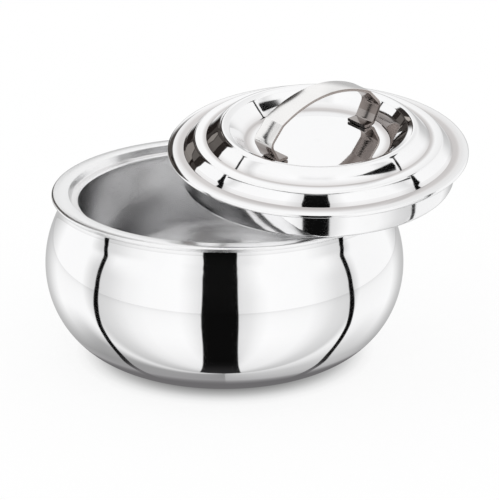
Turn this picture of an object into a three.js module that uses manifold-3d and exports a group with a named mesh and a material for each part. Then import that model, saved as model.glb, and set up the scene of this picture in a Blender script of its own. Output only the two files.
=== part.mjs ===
// Insulated chapati casserole: a double-walled steel pot with a loose double-walled lid.
// Millimetres, +Z up. The origin is the middle of the base, on the surface that the pot stands on.
// The lid lies off to one side of the rim, tipped towards the front (-Y), as if just taken off.
import * as THREE from 'three';
import { mergeVertices } from 'three/addons/utils/BufferGeometryUtils.js';
import Module from 'manifold-3d';

const wasm = await Module();
wasm.setup();

// Facets of the round pieces and of their curved outlines
const FACETS_ROUND = 40;
const FACETS_SMALL = 20;
const STEPS_BELLY = 7;
const STEPS_CURVE = 4;
const STEPS_FILLET = 2;
const STEPS_ARCH = 10;
const NUT_SIDES = 6;

// Sheet and clearances
const potGauge = 0.8;
const lidGauge = 0.6;
const fitGap = 0.3;
const plateGauge = 0.8;

// Mouth of the pot, then the widths that lead outwards from it over the rim to the belly
const mouthRadius = 93.8;
const ledgeWidth = 4.8;
const stepSlope = 1.4;
const rimFlatWidth = 9.5;
const rimFoldWidth = 2.1;
const rimOverhang = 4.1;
const bellyBulge = 10.4;
const mouthFillet = 1.4;
const neckFillet = 1.5;

// Heights of the pot, and the width of the round under its belly
const potHeight = 109;
const stepDepth = 4.8;
const neckDrop = 5.6;
const bellyHeight = 60.5;
const bellyCurveShare = 0.76;
const underBellyRun = 54.8;

// Inner bowl
const bowlWallDraft = 0.8;
const bowlCurveHeight = 57;
const bowlCurveRun = 43;
const bowlFloorHeight = 13;

// Base
const baseRimWidth = 5.3;
const baseSeatWidth = 7;
const plugHoleRadius = 6;
const plugBarbReach = 1.3;
const plugBarbThickness = 0.8;
const plugSetback = 27.7;

// Skirt of the lid, which drops into the mouth
const skirtClearance = 6.4;
const skirtTaper = 0.6;
const skirtDepth = 18;
const skirtCornerRadius = 2.5;
const skirtFillet = 1;

// Lid cover: the flange outwards from the skirt, then both tiers and the recess inwards
const lidFlangeWidth = 8.4;
const lidFlangeFold = 3;
const lowerTierInset = 0.3;
const lowerTierRun = 8.9;
const tierLedgeWidth = 7.2;
const upperTierRun = 8.1;
const crestWidth = 2.9;
const recessRollRun = 3.5;
const recessWallRun = 9.9;

// Heights of the lid cover above the top of its flange
const lowerTierTopHeight = 7.7;
const creaseHeight = 7.8;
const upperTierHeight = 15.6;
const recessRollDrop = 1.2;
const recessFloorHeight = 4.7;
const recessFillet = 3.5;
const crestRound = 5.2;

// Handle strap: its feet inside the recess, then its knees, shoulders and arch
const strapWidth = 16;
const strapThickness = 2;
const strapEdgeRound = 0.4;
const handleTurn = THREE.MathUtils.degToRad(42);
const footClearance = 5.6;
const footLength = 7.5;
const footBend = 2.5;
const kneeOverhang = 6.5;
const kneeHeight = 13.5;
const kneeBend = 5;
const shoulderInset = 10;
const shoulderHeight = 24.6;
const archHeight = 34.3;

// Handle fixings inside the lid
const studRadius = 2;
const studSetback = 4;
const studEndLength = 0.8;
const washerRadius = 6;
const washerThickness = 1.2;
const nutAcrossFlats = 7;
const nutHeight = 3.2;

// Where the lid lies
const lidOffsetX = 59.8;
const lidOffsetY = -7;
const lidTilt = THREE.MathUtils.degToRad(7.7);

// Radii of the pot
const stepFootRadius = mouthRadius + ledgeWidth;
const rimFlatInnerRadius = stepFootRadius + stepSlope;
const rimFillRadius = rimFlatInnerRadius + rimFlatWidth;
const neckRadius = rimFillRadius - rimOverhang;
const neckBottomHeight = potHeight - neckDrop;
const bellyRadius = neckRadius + bellyBulge;
const underBellyCentreRadius = bellyRadius - underBellyRun;
const basePlateRadius = underBellyCentreRadius - baseRimWidth;
const basePlugOffset = basePlateRadius - plugSetback;
const bowlCurveRadius = mouthRadius - bowlWallDraft;
const bowlFloorRadius = bowlCurveRadius - bowlCurveRun;

// Radii of the lid
const skirtTopRadius = mouthRadius - skirtClearance;
const skirtBottomRadius = skirtTopRadius - skirtTaper;
const lidFlangeRadius = skirtTopRadius + lidFlangeWidth;
const lowerTierRadius = skirtTopRadius - lowerTierInset;
const lowerTierTopRadius = lowerTierRadius - lowerTierRun;
const creaseRadius = lowerTierTopRadius - tierLedgeWidth;
const crestOuterRadius = creaseRadius - upperTierRun;
const crestInnerRadius = crestOuterRadius - crestWidth;
const recessRimRadius = crestInnerRadius - recessRollRun;
const recessFloorRadius = recessRimRadius - recessWallRun;

// Reaches of the handle along its own direction, from the middle of the lid
const footOuterReach = recessFloorRadius - footClearance;
const footInnerReach = footOuterReach - footLength;
const kneeReach = footOuterReach + kneeOverhang;
const shoulderReach = kneeReach - shoulderInset;
const studReach = footOuterReach - studSetback;

// Thickness of a folded rim: the sheet, the sheet that it grips, and the sheet again
const foldedRim = (outerGauge, innerGauge) => outerGauge + outerGauge + innerGauge + fitGap + fitGap;
const potRimThickness = foldedRim(potGauge, potGauge);
const lidRimThickness = foldedRim(lidGauge, lidGauge);

const polishedSteel = (name, shade) => new THREE.MeshStandardMaterial({
  name,
  color: shade,
  metalness: 1,
  roughness: 0.08,
});
const potSteel = polishedSteel('pot_steel', 0xd4d5d8);
const bowlSteel = polishedSteel('bowl_steel', 0xcfd0d2);
const lidSteel = polishedSteel('lid_steel', 0xdadbdd);
const strapSteel = polishedSteel('strap_steel', 0xc9c7c5);
const fixingSteel = new THREE.MeshStandardMaterial({
  name: 'fixing_steel',
  color: 0x9a9ca0,
  metalness: 1,
  roughness: 0.35,
});
const foam = new THREE.MeshStandardMaterial({ name: 'foam', color: 0xe6d9a8, roughness: 0.95 });
const plugPlastic = new THREE.MeshStandardMaterial({
  name: 'plug_plastic',
  color: 0x2b2c2f,
  roughness: 0.6,
});

const at = (radius, height) => new THREE.Vector2(radius, height);

// Points of an elliptical arc about a centre, between two angles from the +radius direction
function arc(centre, reach, rise, from, to, steps) {
  const points = [];
  for (let step = 0; step <= steps; step += 1) {
    const angle = from + ((to - from) * step) / steps;
    points.push(at(centre.x + reach * Math.cos(angle), centre.y + rise * Math.sin(angle)));
  }
  return points;
}

// The path with one corner, given by its index, rounded by a tangent arc
function roundCorner(path, index, radius, steps) {
  const corner = path[index];
  const back = path[index - 1].clone().sub(corner).normalize();
  const ahead = path[index + 1].clone().sub(corner).normalize();
  const half = Math.acos(THREE.MathUtils.clamp(back.dot(ahead), -1, 1)) / 2;
  const reach = radius / Math.tan(half);
  const bisector = back.clone().add(ahead).normalize();
  const centre = corner.clone().addScaledVector(bisector, radius / Math.sin(half));
  const start = corner.clone().addScaledVector(back, reach).sub(centre);
  const end = corner.clone().addScaledVector(ahead, reach).sub(centre);
  const sweep = Math.atan2(start.cross(end), start.dot(end));
  const first = start.angle();
  const round = arc(centre, radius, radius, first, first + sweep, steps);
  return [...path.slice(0, index), ...round, ...path.slice(index + 1)];
}

// The path moved sideways: a positive distance is to the left of the way it runs
function offsetPath(path, distance) {
  return path.map((point, index) => {
    const into = point.clone().sub(path[Math.max(index - 1, 0)]).normalize();
    const out = path[Math.min(index + 1, path.length - 1)].clone().sub(point).normalize();
    const before = index > 0 ? into : out;
    const after = index < path.length - 1 ? out : into;
    const left = at(-before.y - after.y, before.x + after.x).normalize();
    const lengthening = left.dot(at(-after.y, after.x));
    return point.clone().addScaledVector(left, distance / lengthening);
  });
}

// Closed outline of a sheet: its face, and the same path one gauge away
const sheetOutline = (face, gauge) => [...face, ...offsetPath(face, gauge).reverse()];

// Solid of revolution about Z from a closed outline, whichever way the outline runs
function turned(outline, facets) {
  const ring = THREE.ShapeUtils.isClockWise(outline) ? [...outline].reverse() : [...outline];
  const closed = [...ring, ring[0].clone()];
  return new THREE.LatheGeometry(closed, facets).rotateX(Math.PI / 2);
}

const disc = (radius, low, high) => [at(0, low), at(radius, low), at(radius, high), at(0, high)];
const washerOutline = (hole, radius, low, high) => [
  at(hole, low),
  at(radius, low),
  at(radius, high),
  at(hole, high),
];

// Extrusion along Z of a flat shape, from the height low
function plate(shape, low, thickness) {
  const geometry = new THREE.ExtrudeGeometry(shape, {
    depth: thickness,
    bevelEnabled: false,
    curveSegments: FACETS_ROUND / 2,
  });
  return geometry.translate(0, 0, low);
}

function solidOf(geometry) {
  const bare = geometry.clone();
  bare.deleteAttribute('normal');
  bare.deleteAttribute('uv');
  const merged = mergeVertices(bare.index ? bare.toNonIndexed() : bare);
  const corners = merged.index.array;
  const faces = [];
  for (let first = 0; first < corners.length; first += 3) {
    const [a, b, c] = corners.slice(first, first + 3);
    if (a !== b && b !== c && c !== a) {
      faces.push(a, b, c);
    }
  }
  return new wasm.Manifold(new wasm.Mesh({
    numProp: 3,
    vertProperties: Float32Array.from(merged.attributes.position.array),
    triVerts: Uint32Array.from(faces),
  }));
}

function geometryOf(solid) {
  const mesh = solid.getMesh();
  const geometry = new THREE.BufferGeometry();
  geometry.setAttribute('position', new THREE.BufferAttribute(Float32Array.from(mesh.vertProperties), 3));
  geometry.setIndex([...mesh.triVerts]);
  const flat = geometry.toNonIndexed();
  flat.computeVertexNormals();
  return flat;
}

// A geometry less the geometries that are cut out of it
function cut(geometry, cutters) {
  const rest = cutters.reduce((solid, cutter) => solid.subtract(solidOf(cutter)), solidOf(geometry));
  return geometryOf(rest);
}

function piece(name, geometry, material) {
  const mesh = new THREE.Mesh(geometry, material);
  mesh.name = name;
  return mesh;
}

// Pot

const baseSeatHeight = plateGauge + fitGap;
const potFlangeUnder = potHeight - potRimThickness + potGauge + fitGap;

// S-curve from the widest place up to the neck: a belly arc and a tangent hollow arc
function shoulderCurve() {
  const inset = bellyRadius - neckRadius;
  const rise = neckBottomHeight - bellyHeight;
  const bend = 2 * Math.atan(inset / rise);
  const radiusSum = rise / Math.sin(bend);
  const bellyCurve = radiusSum * bellyCurveShare;
  const hollowCurve = radiusSum - bellyCurve;
  const bellyCentre = at(bellyRadius - bellyCurve, bellyHeight);
  const hollowCentre = at(neckRadius + hollowCurve, neckBottomHeight);
  const belly = arc(bellyCentre, bellyCurve, bellyCurve, 0, bend, STEPS_CURVE);
  const hollow = arc(hollowCentre, hollowCurve, hollowCurve, Math.PI + bend, Math.PI, STEPS_CURVE);
  return [...belly.slice(1), ...hollow.slice(1)];
}

// Outer face of the shell, from the seat of the base plate up to the edge of the flange
function shellFace() {
  const seatRadius = basePlateRadius + fitGap;
  const underBelly = arc(
    at(underBellyCentreRadius, bellyHeight),
    bellyRadius - underBellyCentreRadius,
    bellyHeight,
    -Math.PI / 2,
    0,
    STEPS_BELLY,
  );
  const path = [
    at(seatRadius - baseSeatWidth, baseSeatHeight),
    at(seatRadius, baseSeatHeight),
    at(seatRadius, 0),
    ...underBelly,
    ...shoulderCurve(),
    at(neckRadius, potFlangeUnder),
    at(rimFillRadius, potFlangeUnder),
  ];
  return roundCorner(path, path.length - 2, neckFillet, STEPS_FILLET);
}

// Inner face of the bowl, then the ledge, the step, the flat rim and its fold
function bowlFace() {
  const ledgeHeight = potHeight - stepDepth;
  const foldRadius = potRimThickness / 2;
  const floorCurve = arc(
    at(bowlFloorRadius, bowlCurveHeight),
    bowlCurveRadius - bowlFloorRadius,
    bowlCurveHeight - bowlFloorHeight,
    -Math.PI / 2,
    0,
    STEPS_BELLY,
  );
  const wall = [
    at(0, bowlFloorHeight),
    ...floorCurve,
    at(mouthRadius, ledgeHeight),
    at(stepFootRadius, ledgeHeight),
    at(rimFlatInnerRadius, potHeight),
  ];
  const rounded = roundCorner(wall, wall.length - 3, mouthFillet, STEPS_FILLET);
  const foldCentre = at(rimFillRadius, potHeight - foldRadius);
  const fold = arc(foldCentre, foldRadius, foldRadius, Math.PI / 2, -Math.PI / 2, STEPS_CURVE);
  const foldEnd = at(rimFillRadius - rimFoldWidth, potHeight - potRimThickness);
  return [...rounded, ...fold, foldEnd];
}

// Foam between the shell and the bowl, a fit gap off both
function potFoamOutline() {
  const away = potGauge + fitGap;
  const outside = offsetPath(shellFace(), away);
  const inside = offsetPath(bowlFace(), -away);
  const neckTop = potFlangeUnder - neckFillet;
  const floorHeight = baseSeatHeight + away;
  const outer = outside.filter((point) => point.y > floorHeight + fitGap && point.y < neckTop);
  const inner = inside.filter((point) => point.y < neckTop - stepDepth);
  return [at(0, floorHeight), at(underBellyCentreRadius, floorHeight), ...outer, ...inner.reverse()];
}

function potPieces() {
  const base = new THREE.Shape().absarc(0, 0, basePlateRadius, 0, Math.PI * 2);
  base.holes.push(new THREE.Path().absarc(basePlugOffset, 0, plugHoleRadius, 0, Math.PI * 2));
  const plug = piece('pot_fill_plug', plugGeometry(plateGauge), plugPlastic);
  plug.position.x = basePlugOffset;
  return [
    piece('pot_outer_shell', turned(sheetOutline(shellFace(), potGauge), FACETS_ROUND), potSteel),
    piece('pot_inner_bowl', turned(sheetOutline(bowlFace(), -potGauge), FACETS_ROUND), bowlSteel),
    piece('pot_insulation', turned(potFoamOutline(), FACETS_ROUND), foam),
    piece('pot_base_plate', plate(base, 0, plateGauge), potSteel),
    plug,
  ];
}

// Plug for a filling hole: a shank flush with the sheet's outside and a barb on its inside
function plugGeometry(sheetGauge) {
  const shank = plugHoleRadius - fitGap;
  const barb = plugHoleRadius + plugBarbReach;
  const barbLow = sheetGauge + fitGap;
  const barbHigh = barbLow + plugBarbThickness;
  const outline = [
    at(0, fitGap),
    at(shank, fitGap),
    at(shank, barbLow),
    at(barb, barbLow),
    at(shank, barbHigh),
    at(0, barbHigh),
  ];
  return turned(outline, FACETS_SMALL);
}

// Lid, with its zero height at the underside of the folded flange

const lidFillRadius = lidFlangeRadius - lidRimThickness / 2;
const recessFloor = lidRimThickness + recessFloorHeight;
const panFlangeUnder = lidGauge + fitGap;

// Upper face of the cover, from the recess floor out over both tiers to the folded flange
function coverFace() {
  const crest = lidRimThickness + upperTierHeight;
  const crease = lidRimThickness + creaseHeight;
  const tierTop = lidRimThickness + lowerTierTopHeight;
  const crested = roundCorner(
    [
      at(0, recessFloor),
      at(recessFloorRadius, recessFloor),
      at(recessRimRadius, crest - recessRollDrop),
      at(crestInnerRadius, crest),
      at(crestOuterRadius, crest),
      at(creaseRadius, crease),
    ],
    4,
    crestRound,
    STEPS_CURVE,
  );
  const upperTier = roundCorner(crested, 1, recessFillet, STEPS_FILLET);
  const lowerTier = arc(
    at(lowerTierTopRadius, lidRimThickness),
    lowerTierRadius - lowerTierTopRadius,
    tierTop - lidRimThickness,
    Math.PI / 2,
    0,
    STEPS_CURVE,
  );
  const foldRadius = lidRimThickness / 2;
  const foldCentre = at(lidFillRadius, foldRadius);
  const fold = arc(foldCentre, foldRadius, foldRadius, Math.PI / 2, -Math.PI / 2, STEPS_CURVE);
  return [...upperTier, ...lowerTier, ...fold, at(lidFillRadius - lidFlangeFold, 0)];
}

// Outer face of the pan, from its filling hole out and up the skirt to the flange edge
function panFace() {
  const path = [
    at(plugHoleRadius, -skirtDepth),
    at(skirtBottomRadius, -skirtDepth),
    at(skirtTopRadius, panFlangeUnder),
    at(lidFillRadius, panFlangeUnder),
  ];
  const filleted = roundCorner(path, 2, skirtFillet, STEPS_FILLET);
  return roundCorner(filleted, 1, skirtCornerRadius, STEPS_FILLET);
}

// Foam between the pan and the cover, clear of the plug's barb
function lidFoamOutline() {
  const away = lidGauge + fitGap;
  const below = offsetPath(panFace(), away);
  const above = offsetPath(coverFace(), -away);
  const floorHeight = -skirtDepth + away + plugBarbThickness + fitGap;
  const side = below.filter((point) => point.y > floorHeight && point.y < 0);
  const roof = above.filter((point) => point.y > lidRimThickness && point.x < lowerTierRadius);
  const wall = side[0];
  return [at(0, floorHeight), at(wall.x - fitGap, floorHeight), ...side, ...roof.reverse()];
}

const handleEnds = [['front', -1], ['back', 1]];
const onStrap = (side) => new THREE.Vector3(studReach, 0, 0)
  .multiplyScalar(side)
  .applyAxisAngle(new THREE.Vector3(0, 0, 1), handleTurn);

// Heights of the fixings below the recess floor
const floorUnder = recessFloor - lidGauge;
const washerTop = floorUnder - fitGap;
const washerUnder = washerTop - washerThickness;
const nutTop = washerUnder - fitGap;
const nutUnder = nutTop - nutHeight;
const studUnder = nutUnder - studEndLength;
const studHoleRadius = studRadius + fitGap;

function standingAt(geometry, place) {
  return geometry.translate(place.x, place.y, 0);
}

function studHole(side) {
  const hole = turned(disc(studHoleRadius, studUnder, recessFloor + lidGauge), FACETS_SMALL);
  return standingAt(hole, onStrap(side));
}

function fixingPocket(side) {
  const pocket = turned(disc(washerRadius + fitGap, studUnder - fitGap, recessFloor), FACETS_SMALL);
  return standingAt(pocket, onStrap(side));
}

function nutGeometry() {
  const nut = new THREE.Shape();
  const cornerRadius = nutAcrossFlats / 2 / Math.cos(Math.PI / NUT_SIDES);
  for (let corner = 0; corner < NUT_SIDES; corner += 1) {
    const angle = (corner * 2 * Math.PI) / NUT_SIDES;
    const move = corner === 0 ? 'moveTo' : 'lineTo';
    nut[move](cornerRadius * Math.cos(angle), cornerRadius * Math.sin(angle));
  }
  nut.closePath();
  nut.holes.push(new THREE.Path().absarc(0, 0, studHoleRadius, 0, Math.PI * 2));
  const geometry = new THREE.ExtrudeGeometry(nut, {
    depth: nutHeight,
    bevelEnabled: false,
    curveSegments: FACETS_SMALL / 2,
  });
  return geometry.translate(0, 0, nutUnder);
}

// Middle line of the strap from the arch's top down to the end of one foot
function halfStrapPath() {
  const sagitta = archHeight - shoulderHeight;
  const archRadius = (shoulderReach ** 2 + sagitta ** 2) / (2 * sagitta);
  const archCentre = at(0, archHeight - archRadius);
  const shoulderAngle = Math.acos(shoulderReach / archRadius);
  const arch = arc(archCentre, archRadius, archRadius, Math.PI / 2, shoulderAngle, STEPS_ARCH / 2);
  const footHeight = fitGap + strapThickness / 2;
  const path = [
    ...arch,
    at(kneeReach, kneeHeight),
    at(footOuterReach, footHeight),
    at(footInnerReach, footHeight),
  ];
  const footBent = roundCorner(path, path.length - 2, footBend, STEPS_FILLET + 1);
  return roundCorner(footBent, arch.length, kneeBend, STEPS_CURVE);
}

function strapGeometry() {
  const half = halfStrapPath();
  const mirrored = half.slice(1).map((point) => at(-point.x, point.y)).reverse();
  const middle = [...mirrored, ...half];
  const inset = strapThickness / 2 - strapEdgeRound;
  const outline = [...offsetPath(middle, inset), ...offsetPath(middle, -inset).reverse()];
  const geometry = new THREE.ExtrudeGeometry(new THREE.Shape(outline), {
    depth: strapWidth - strapEdgeRound - strapEdgeRound,
    bevelThickness: strapEdgeRound,
    bevelSize: strapEdgeRound,
    bevelSegments: 1,
  });
  const strap = geometry.translate(0, 0, strapEdgeRound - strapWidth / 2).rotateX(Math.PI / 2);
  return strap.rotateZ(handleTurn).translate(0, 0, recessFloor);
}

function fixingPieces(name, side) {
  const place = onStrap(side);
  const stud = turned(disc(studRadius, studUnder, recessFloor), FACETS_SMALL);
  const washer = turned(washerOutline(studHoleRadius, washerRadius, washerUnder, washerTop), FACETS_SMALL);
  return [
    piece(`handle_stud_${name}`, standingAt(stud, place), fixingSteel),
    piece(`handle_washer_${name}`, standingAt(washer, place), fixingSteel),
    piece(`handle_nut_${name}`, standingAt(nutGeometry(), place), fixingSteel),
  ];
}

function lidPieces() {
  const sides = handleEnds.map(([, side]) => side);
  const cover = turned(sheetOutline(coverFace(), -lidGauge), FACETS_ROUND);
  const filling = turned(lidFoamOutline(), FACETS_ROUND);
  const plug = piece('lid_fill_plug', plugGeometry(lidGauge), plugPlastic);
  plug.position.z = -skirtDepth;
  return [
    piece('lid_cover', cut(cover, sides.map(studHole)), lidSteel),
    piece('lid_pan', turned(sheetOutline(panFace(), lidGauge), FACETS_ROUND), lidSteel),
    piece('lid_insulation', cut(filling, sides.map(fixingPocket)), foam),
    plug,
    piece('lid_handle_strap', strapGeometry(), strapSteel),
    ...handleEnds.flatMap(([name, side]) => fixingPieces(name, side)),
  ];
}

const potOuterRimRadius = rimFillRadius + potRimThickness / 2;

// Height of the middle of the lid's underside over the rim: its front just clears the rim there
function lidUndersideLift() {
  const flatRadius = skirtBottomRadius - skirtCornerRadius / 2;
  const distance = Math.hypot(lidOffsetX, lidOffsetY);
  const squares = potOuterRimRadius ** 2 - flatRadius ** 2 + distance ** 2;
  const along = squares / (2 * distance);
  const across = Math.sqrt(Math.max(potOuterRimRadius ** 2 - along ** 2, 0));
  const crossingY = (along * lidOffsetY - across * lidOffsetX) / distance;
  return (lidOffsetY - crossingY) * Math.tan(lidTilt) + fitGap;
}

const casserole = new THREE.Group();
casserole.add(...potPieces());

const lid = new THREE.Group();
lid.add(...lidPieces());
lid.rotation.x = lidTilt;
lid.position.set(lidOffsetX, lidOffsetY, potHeight + lidUndersideLift());
lid.translateZ(skirtDepth);
casserole.add(lid);

export default casserole;
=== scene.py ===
import math
from functools import partialmethod

import bmesh
import bpy
from bpy.props import FloatProperty, FloatVectorProperty, IntProperty, PointerProperty
from mathutils import Matrix, Vector


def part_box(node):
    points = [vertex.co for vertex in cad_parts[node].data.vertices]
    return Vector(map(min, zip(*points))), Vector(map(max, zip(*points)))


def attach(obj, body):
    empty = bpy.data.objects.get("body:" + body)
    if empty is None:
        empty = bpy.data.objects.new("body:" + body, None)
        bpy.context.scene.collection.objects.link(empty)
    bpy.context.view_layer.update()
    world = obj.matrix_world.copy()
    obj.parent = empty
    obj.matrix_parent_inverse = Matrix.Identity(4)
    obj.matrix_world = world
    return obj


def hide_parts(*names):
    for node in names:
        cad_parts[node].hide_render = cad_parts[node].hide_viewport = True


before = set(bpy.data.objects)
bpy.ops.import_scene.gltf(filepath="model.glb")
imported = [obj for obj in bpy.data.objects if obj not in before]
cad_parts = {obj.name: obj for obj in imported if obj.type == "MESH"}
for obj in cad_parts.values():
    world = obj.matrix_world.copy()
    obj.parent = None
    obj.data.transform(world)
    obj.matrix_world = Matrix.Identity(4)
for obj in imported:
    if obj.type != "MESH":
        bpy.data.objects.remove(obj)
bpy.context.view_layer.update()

bl_info = {
    "name": "Insulated casserole",
    "version": (1, 0, 0),
    "blender": (4, 5, 0),
    "location": "View3D > Sidebar > Casserole",
    "description": "Steel casserole with a loose stepped lid, turned from profiles round a fixed frame",
    "category": "Object",
}

MM = 0.001


# Measures taken from the frame

def middle(node):
    """Middle of a frame node's box."""
    low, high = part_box(node)
    return (low + high) / 2


BELLY_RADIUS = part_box("pot_outer_shell")[1].x
RIM_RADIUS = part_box("pot_inner_bowl")[1].x
POT_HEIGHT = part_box("pot_inner_bowl")[1].z
BELLY_SHARE = 0.555
BASE_PLATE_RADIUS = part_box("pot_base_plate")[1].x
COVER_LOW, COVER_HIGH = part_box("lid_cover")
FLANGE_RADIUS = (COVER_HIGH.x - COVER_LOW.x) / 2

# The two handle washers are level with each other in the lid, so they give its tilt and its turn
FRONT_WASHER = middle("handle_washer_front")
BACK_WASHER = middle("handle_washer_back")
ACROSS_WASHERS = BACK_WASHER - FRONT_WASHER
LID_TILT = math.atan2(ACROSS_WASHERS.z, ACROSS_WASHERS.y)
HANDLE_TURN = math.atan2(math.hypot(ACROSS_WASHERS.y, ACROSS_WASHERS.z), ACROSS_WASHERS.x)
LID_AXIS = Vector((0, -math.sin(LID_TILT), math.cos(LID_TILT)))

# Sheets and seams
POT_SHEET = 0.8 * MM
LID_SHEET = 0.6 * MM
SEAM_GAP = 0.3 * MM
POT_RIM_THICKNESS = 3 * POT_SHEET + 2 * SEAM_GAP
LID_RIM_THICKNESS = 3 * LID_SHEET + 2 * SEAM_GAP
WASHER_THICKNESS = 1.2 * MM

# How finely curves are cut, how tight a fold marks wear, and how near a wall marks painted shade
PROFILE_STEP = 1.3 * MM
STRAIGHT_STEP = 3 * PROFILE_STEP
FEWEST_ARC_STEPS = 5
EDGE_STEPS = 4
STAGE_SIDES = 128
SMOOTH_ANGLE = math.radians(38)
WEAR_RADIUS = 2.2 * MM
SHELTER_REACH = 7 * MM
MERGE_DISTANCE = 0.002 * MM


# Sizes and colours that a user would change

def length(name, description, default):
    """Length property in metres."""
    return FloatProperty(
        name=name, description=description, default=default, min=0.0, unit="LENGTH", subtype="DISTANCE"
    )


def share(name, description, default):
    """Property from 0 to 1."""
    return FloatProperty(
        name=name, description=description, default=default, min=0.0, max=1.0, subtype="FACTOR"
    )


def colour(name, description, default):
    """Linear colour property."""
    return FloatVectorProperty(
        name=name, description=description, default=default, size=3, min=0.0, max=1.0, subtype="COLOR"
    )


class CasserolePotSizes(bpy.types.PropertyGroup):
    facets: IntProperty(name="Facets", description="Facets round each turned piece", default=240, min=24)
    height: length("Height", "From the base plate's underside to the top of the rim", POT_HEIGHT)
    belly_radius: length("Belly radius", "Widest radius of the shell", BELLY_RADIUS)
    belly_height: length("Belly height", "Height of the widest place", BELLY_SHARE * POT_HEIGHT)
    rim_radius: length("Rim radius", "Outer radius of the folded rim", RIM_RADIUS)
    neck_inset: length("Neck inset", "How far the neck stands in from the rim's edge", 5.6 * MM)
    neck_drop: length("Neck drop", "How far under the rim the neck starts", 5.6 * MM)
    base_radius: length("Base radius", "Where the shell's round underside meets the table", 61 * MM)
    mouth_inset: length("Mouth inset", "From the rim's edge in to the bowl's wall", 17.2 * MM)
    step_depth: length("Step depth", "Drop from the flat rim to the lid's ledge", 4.8 * MM)
    floor_height: length("Bowl floor height", "Height of the bowl's floor", 13 * MM)


class CasseroleLidSizes(bpy.types.PropertyGroup):
    flange_radius: length("Flange radius", "Outer radius of the folded flange", FLANGE_RADIUS)
    skirt_inset: length("Skirt inset", "From the flange's edge in to the skirt", 8.4 * MM)
    skirt_depth: length("Skirt depth", "Depth of the skirt under the flange", 18 * MM)
    lower_tier_height: length("Lower tier height", "Height of the lower tier over the flange", 7.7 * MM)
    upper_tier_height: length("Upper tier height", "Height of the crest over the flange", 15.6 * MM)
    recess_height: length("Recess height", "Height of the recess floor over the flange", 4.7 * MM)
    recess_radius: length("Recess radius", "Radius of the recess at its rim", 56.5 * MM)


class CasseroleHandleSizes(bpy.types.PropertyGroup):
    width: length("Strap width", "Width of the bent strap", 16 * MM)
    thickness: length("Strap thickness", "Thickness of the bent strap", 2 * MM)
    edge_round: length("Edge round", "Round along the strap's long edges", 0.45 * MM)
    arch_height: length("Arch height", "Top of the strap's middle line over the recess floor", 34.3 * MM)
    shoulder_height: length("Shoulder height", "Height at which the arch bends into the legs", 24.6 * MM)
    knee_height: length("Knee height", "Height at which the legs bend inwards", 13.5 * MM)


class CasseroleFinish(bpy.types.PropertyGroup):
    steel: colour("Polished steel", "Colour of the polished sheets", (0.925, 0.925, 0.93))
    strap: colour("Strap steel", "Colour of the handle", (0.88, 0.872, 0.865))
    fixing: colour("Fixing steel", "Colour of studs, washers and nuts", (0.56, 0.57, 0.59))
    foam: colour("Foam", "Colour of the insulation", (0.80, 0.70, 0.42))
    plastic: colour("Plastic", "Colour of the filling plugs", (0.035, 0.035, 0.038))
    polish: share("Polish roughness", "Roughness of the mirror-polished sheets", 0.035)
    bowl_polish: share("Bowl roughness", "Roughness inside the bowl", 0.2)
    strap_polish: share("Strap roughness", "Roughness of the handle", 0.1)


class CasseroleStudio(bpy.types.PropertyGroup):
    lens: FloatProperty(
        name="Lens", description="Focal length of the camera",
        default=224.1, unit="CAMERA", subtype="DISTANCE_CAMERA",
    )
    camera_right: length("Camera to the right", "How far right of the pot's axis it stands", 16.2 * MM)
    camera_back: length("Camera distance", "How far in front of the pot the camera stands", 1891.5 * MM)
    camera_height: length("Camera height", "Height of the camera over the floor", 759.9 * MM)
    camera_dip: FloatProperty(
        name="Camera dip", description="How far the camera looks down",
        default=math.radians(20.1), unit="ROTATION", subtype="ANGLE",
    )
    floor_radius: length("Floor radius", "Radius of the round floor", 6.0)
    floor_shade: share("Floor shade", "How much of the floor's white takes a shadow", 0.13)
    panel_light: FloatProperty(
        name="Panel light", description="Brightness of the white panels that the steel mirrors",
        default=1.055, min=0.0,
    )
    gap_colour: colour("Gap colour", "Colour of the gaps between the panels", (0.0037, 0.0037, 0.0037))


def settings(context, *names):
    """The scene's groups of sizes and colours, by their short names."""
    return [getattr(context.scene, "casserole_" + name) for name in names]


# Profiles: points (radius, height) of a sheet's face, in metres

def at(radius, height):
    """Profile point."""
    return Vector((radius, height))


def arc(centre, reach, rise, start, end):
    """Points of an elliptical arc between two angles in degrees, about a profile step apart."""
    sweep = math.radians(end - start)
    steps = max(FEWEST_ARC_STEPS, round(abs(sweep) * max(reach, rise) / PROFILE_STEP))
    angles = [math.radians(start) + sweep * step / steps for step in range(steps + 1)]
    return [centre + at(reach * math.cos(a), rise * math.sin(a)) for a in angles]


def rounded(path, rounds):
    """The path with corners rounded by tangent arcs, from radii by corner index."""
    for index in sorted(rounds, reverse=True):
        radius, corner = rounds[index], path[index]
        back = (path[index - 1] - corner).normalized()
        ahead = (path[index + 1] - corner).normalized()
        half = back.angle(ahead) / 2
        centre = corner + (back + ahead).normalized() * (radius / math.sin(half))
        first = corner + back * (radius / math.tan(half)) - centre
        last = corner + ahead * (radius / math.tan(half)) - centre
        start = math.degrees(math.atan2(first.y, first.x))
        sweep = math.degrees(math.atan2(first.x * last.y - first.y * last.x, first.dot(last)))
        path = path[:index] + arc(centre, radius, radius, start, start + sweep) + path[index + 1:]
    return path


def offset(path, distance):
    """The path moved sideways; a positive distance is to the left of the way it runs."""
    moved = []
    for index, point in enumerate(path):
        into = (point - path[index - 1]).normalized() if index else None
        out = (path[index + 1] - point).normalized() if index < len(path) - 1 else into
        into = into or out
        left = Vector((-into.y - out.y, into.x + out.x)).normalized()
        lengthening = left.dot(Vector((-out.y, out.x)))
        moved.append(point + left * (distance / lengthening))
    return moved


def filled(path):
    """The path with long straight runs cut into shorter ones, and repeated points dropped."""
    points = [path[0]]
    for point in path[1:]:
        start = points[-1]
        run = (point - start).length
        if run > MERGE_DISTANCE:
            pieces = max(1, round(run / STRAIGHT_STEP))
            points += [start.lerp(point, piece / pieces) for piece in range(1, pieces + 1)]
    return points


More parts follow.
